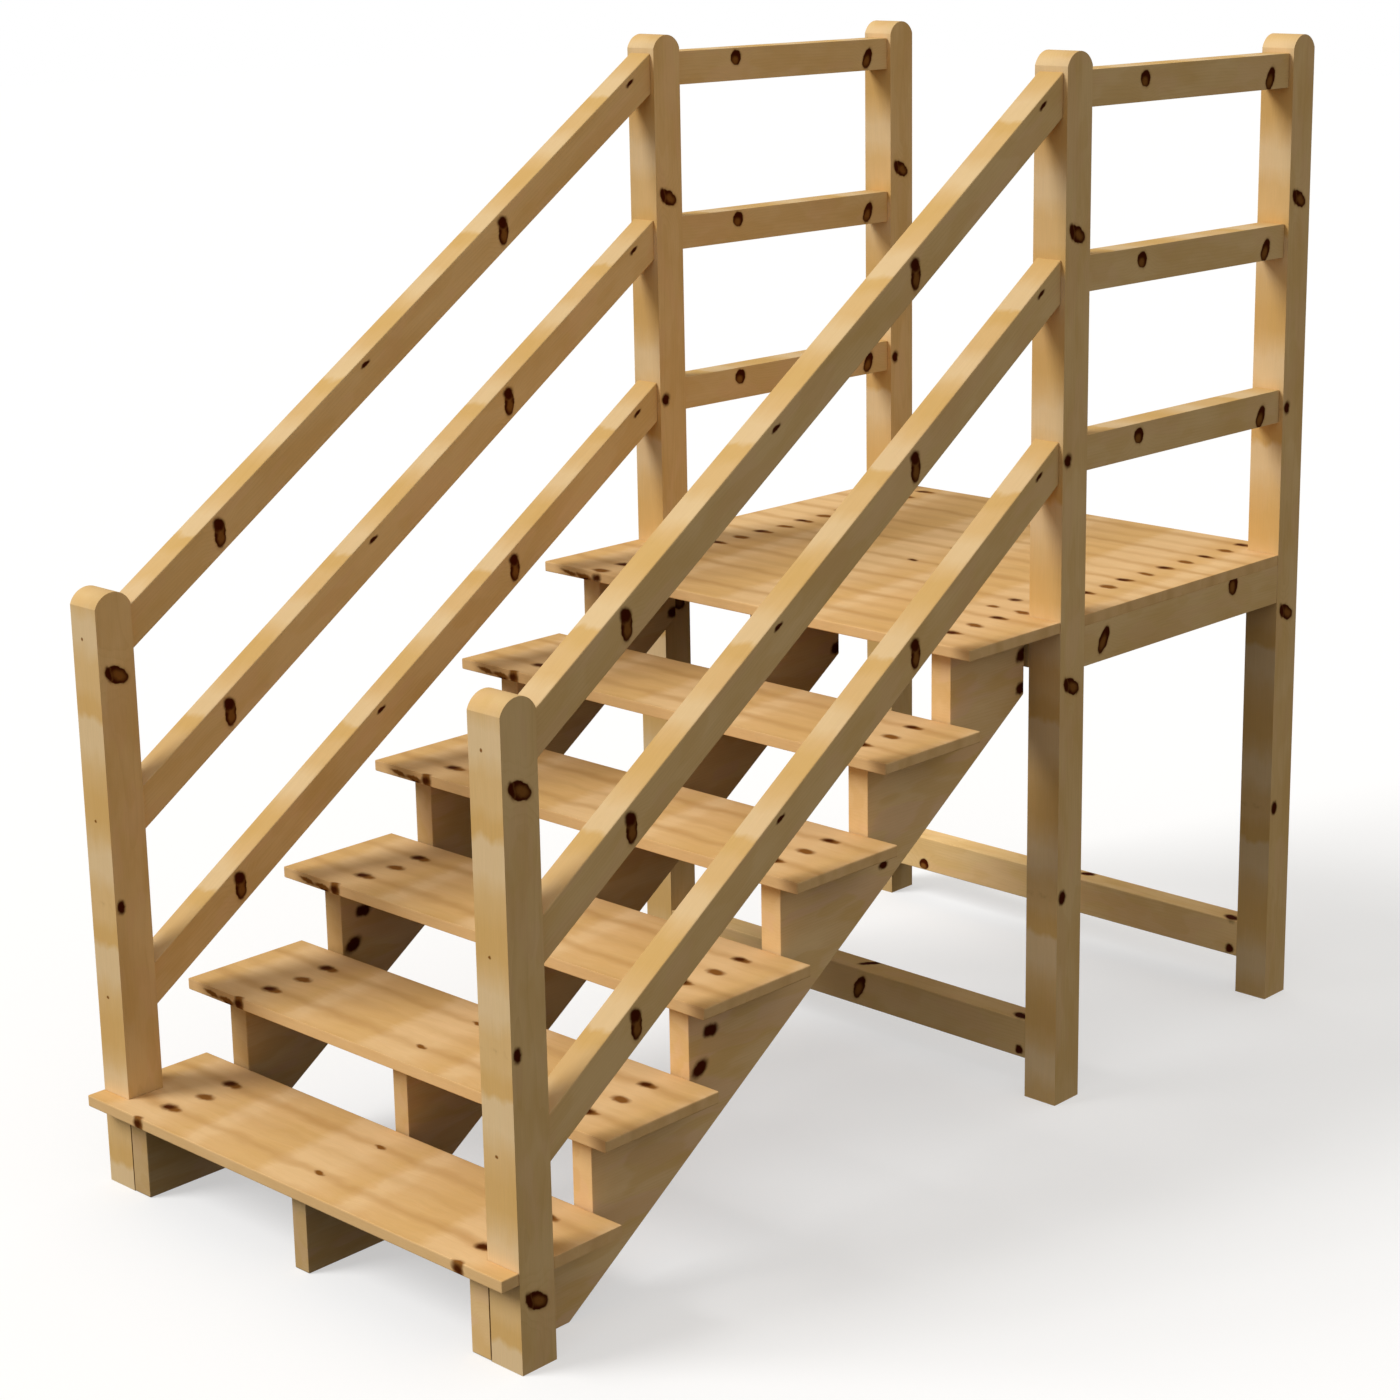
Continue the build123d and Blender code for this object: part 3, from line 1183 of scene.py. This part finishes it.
@dataclass
class Studio:
    """A pale floor, soft light and the camera.

    Attributes:
        floor_size: The length of the floor's sides, in metres.
        floor_paleness: How far the shadow on the floor is lifted towards white.
        white: The colour of the floor and of the backdrop, to the eye.
        floor_bounce: The floor's colour in what it throws back on the timber.
        sky_tint: The colour of the light from the sky, in linear light.
        sky_strength: The strength of the light from the sky.
        key_strength: The strength of the lamp on a surface that faces it.
        key_spread: How wide the lamp looks from the stairs, in degrees.
        key_direction: From the stairs to the lamp.
        camera_place: The camera's place, in metres.
        camera_turn: The camera's heading left of the climb, tilt upwards and roll, in degrees.
        camera_shift: How far the camera's picture is shifted, in widths of it.
        focal_length: The camera's focal length in millimetres.
    """

    floor_size: float = 60.0
    floor_paleness: float = 0.5
    white: str = "#FFFFFF"
    floor_bounce: str = "#31302F"
    sky_tint: tuple[float, ...] = (1.0, 0.97, 0.92, 1.0)
    sky_strength: float = 0.56
    key_strength: float = 2.3
    key_spread: float = 28.0
    key_direction: Triple = (-0.44, -0.61, 0.66)
    camera_place: Triple = (3.998, -4.172, 2.471)
    camera_turn: Triple = (41.51, -13.98, -0.35)
    camera_shift: tuple[float, float] = (-0.1, -0.0637)
    focal_length: float = 74.49

    def shown(self, tree: bpy.types.NodeTree) -> Socket:
        """Tells the rays that show the stage itself: straight, mirrored or through glass.

        Args:
            tree: The material's or world's node tree.

        Returns:
            One for those rays and 0 for the others.
        """
        rays = add_node(tree, "LightPath")
        seen = {0: rays["Is Camera Ray"], 1: rays["Is Glossy Ray"]}
        seen = add_node(tree, "Math", seen, operation="MAXIMUM")[0]
        seen = {0: seen, 1: rays["Is Transmission Ray"]}
        return add_node(tree, "Math", seen, operation="MAXIMUM")[0]

    def floor(self) -> None:
        """Lays the floor: white with a soft shadow, dark in what it throws back on the timber."""
        bpy.ops.object.select_all(action="DESELECT")
        bpy.ops.mesh.primitive_plane_add(size=self.floor_size, location=(0.0, 0.0, 0.0))
        floor = bpy.context.object
        floor.name = "floor"
        paint = bpy.data.materials.new("matt_floor_paint")
        paint.use_nodes = True
        tree = paint.node_tree
        tree.nodes.clear()
        shown = self.shown(tree)
        white = linear(self.white)
        colours = {"Factor": shown, "A": linear(self.floor_bounce), "B": white}
        colour = add_node(tree, "Mix", colours, data_type="RGBA")["Result"]
        matt = add_node(tree, "BsdfDiffuse", {"Color": colour})[0]
        glow = add_node(tree, "Emission", {"Color": white, "Strength": 1.0})[0]
        pale = {0: shown, 1: self.floor_paleness}
        pale = add_node(tree, "Math", pale, operation="MULTIPLY")[0]
        mixed = add_node(tree, "MixShader", {0: pale, 1: matt, 2: glow})[0]
        add_node(tree, "OutputMaterial", {"Surface": mixed})
        floor.data.materials.append(paint)

    def sky(self) -> None:
        """Sets an even, slightly warm light all round, which looks white itself."""
        world = bpy.data.worlds.new("studio")
        bpy.context.scene.world = world
        world.use_nodes = True
        tree = world.node_tree
        tree.nodes.clear()
        shown = self.shown(tree)
        colours = {"Factor": shown, "A": self.sky_tint, "B": linear(self.white)}
        colour = add_node(tree, "Mix", colours, data_type="RGBA")["Result"]
        strength = {"Value": shown, "To Min": self.sky_strength, "To Max": 1.0}
        strength = add_node(tree, "MapRange", strength)[0]
        background = add_node(tree, "Background", {"Color": colour, "Strength": strength})[0]
        add_node(tree, "OutputWorld", {"Surface": background})

    def key(self) -> None:
        """Adds the large soft lamp at the front left."""
        data = bpy.data.lights.new("key", "SUN")
        data.energy = self.key_strength
        data.angle = math.radians(self.key_spread)
        lamp = bpy.data.objects.new("key", data)
        lamp.rotation_euler = Vector(self.key_direction).to_track_quat("Z", "Y").to_euler()
        bpy.context.scene.collection.objects.link(lamp)

    def camera(self) -> None:
        """Places the camera at the front right, above the guards."""
        data = bpy.data.cameras.new("camera")
        data.lens = self.focal_length
        data.sensor_width = 36.0
        data.shift_x, data.shift_y = self.camera_shift
        data.clip_end = 200.0
        camera = bpy.data.objects.new("camera", data)
        camera.location = self.camera_place
        camera.rotation_mode = "XYZ"
        heading, tilt, roll = (math.radians(degrees) for degrees in self.camera_turn)
        aim = Euler((math.pi / 2 + tilt, 0.0, heading)).to_matrix()
        camera.rotation_euler = (aim @ Euler((0.0, 0.0, roll)).to_matrix()).to_euler()
        bpy.context.scene.collection.objects.link(camera)
        bpy.context.scene.camera = camera

    def build(self) -> None:
        """Sets the whole stage."""
        self.floor()
        self.sky()
        self.key()
        self.camera()
        bpy.context.scene.view_settings.view_transform = "Standard"


def flight_pitch() -> float:
    """The slope of the flight in radians, from the places of two treads."""
    first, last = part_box("tread_1")[0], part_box("tread_5")[0]
    return math.atan2(last.z - first.z, last.y - first.y)


def main() -> None:
    """Dresses the stairs and sets the stage."""
    logging.basicConfig(level=logging.INFO, format="%(name)s: %(message)s")
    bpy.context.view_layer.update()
    pitch = flight_pitch()
    for assembly in (Guard(pitch), Boards(pitch), Carcass(pitch)):
        assembly.build()
    Studio().build()


if __name__ == "__main__":
    main()
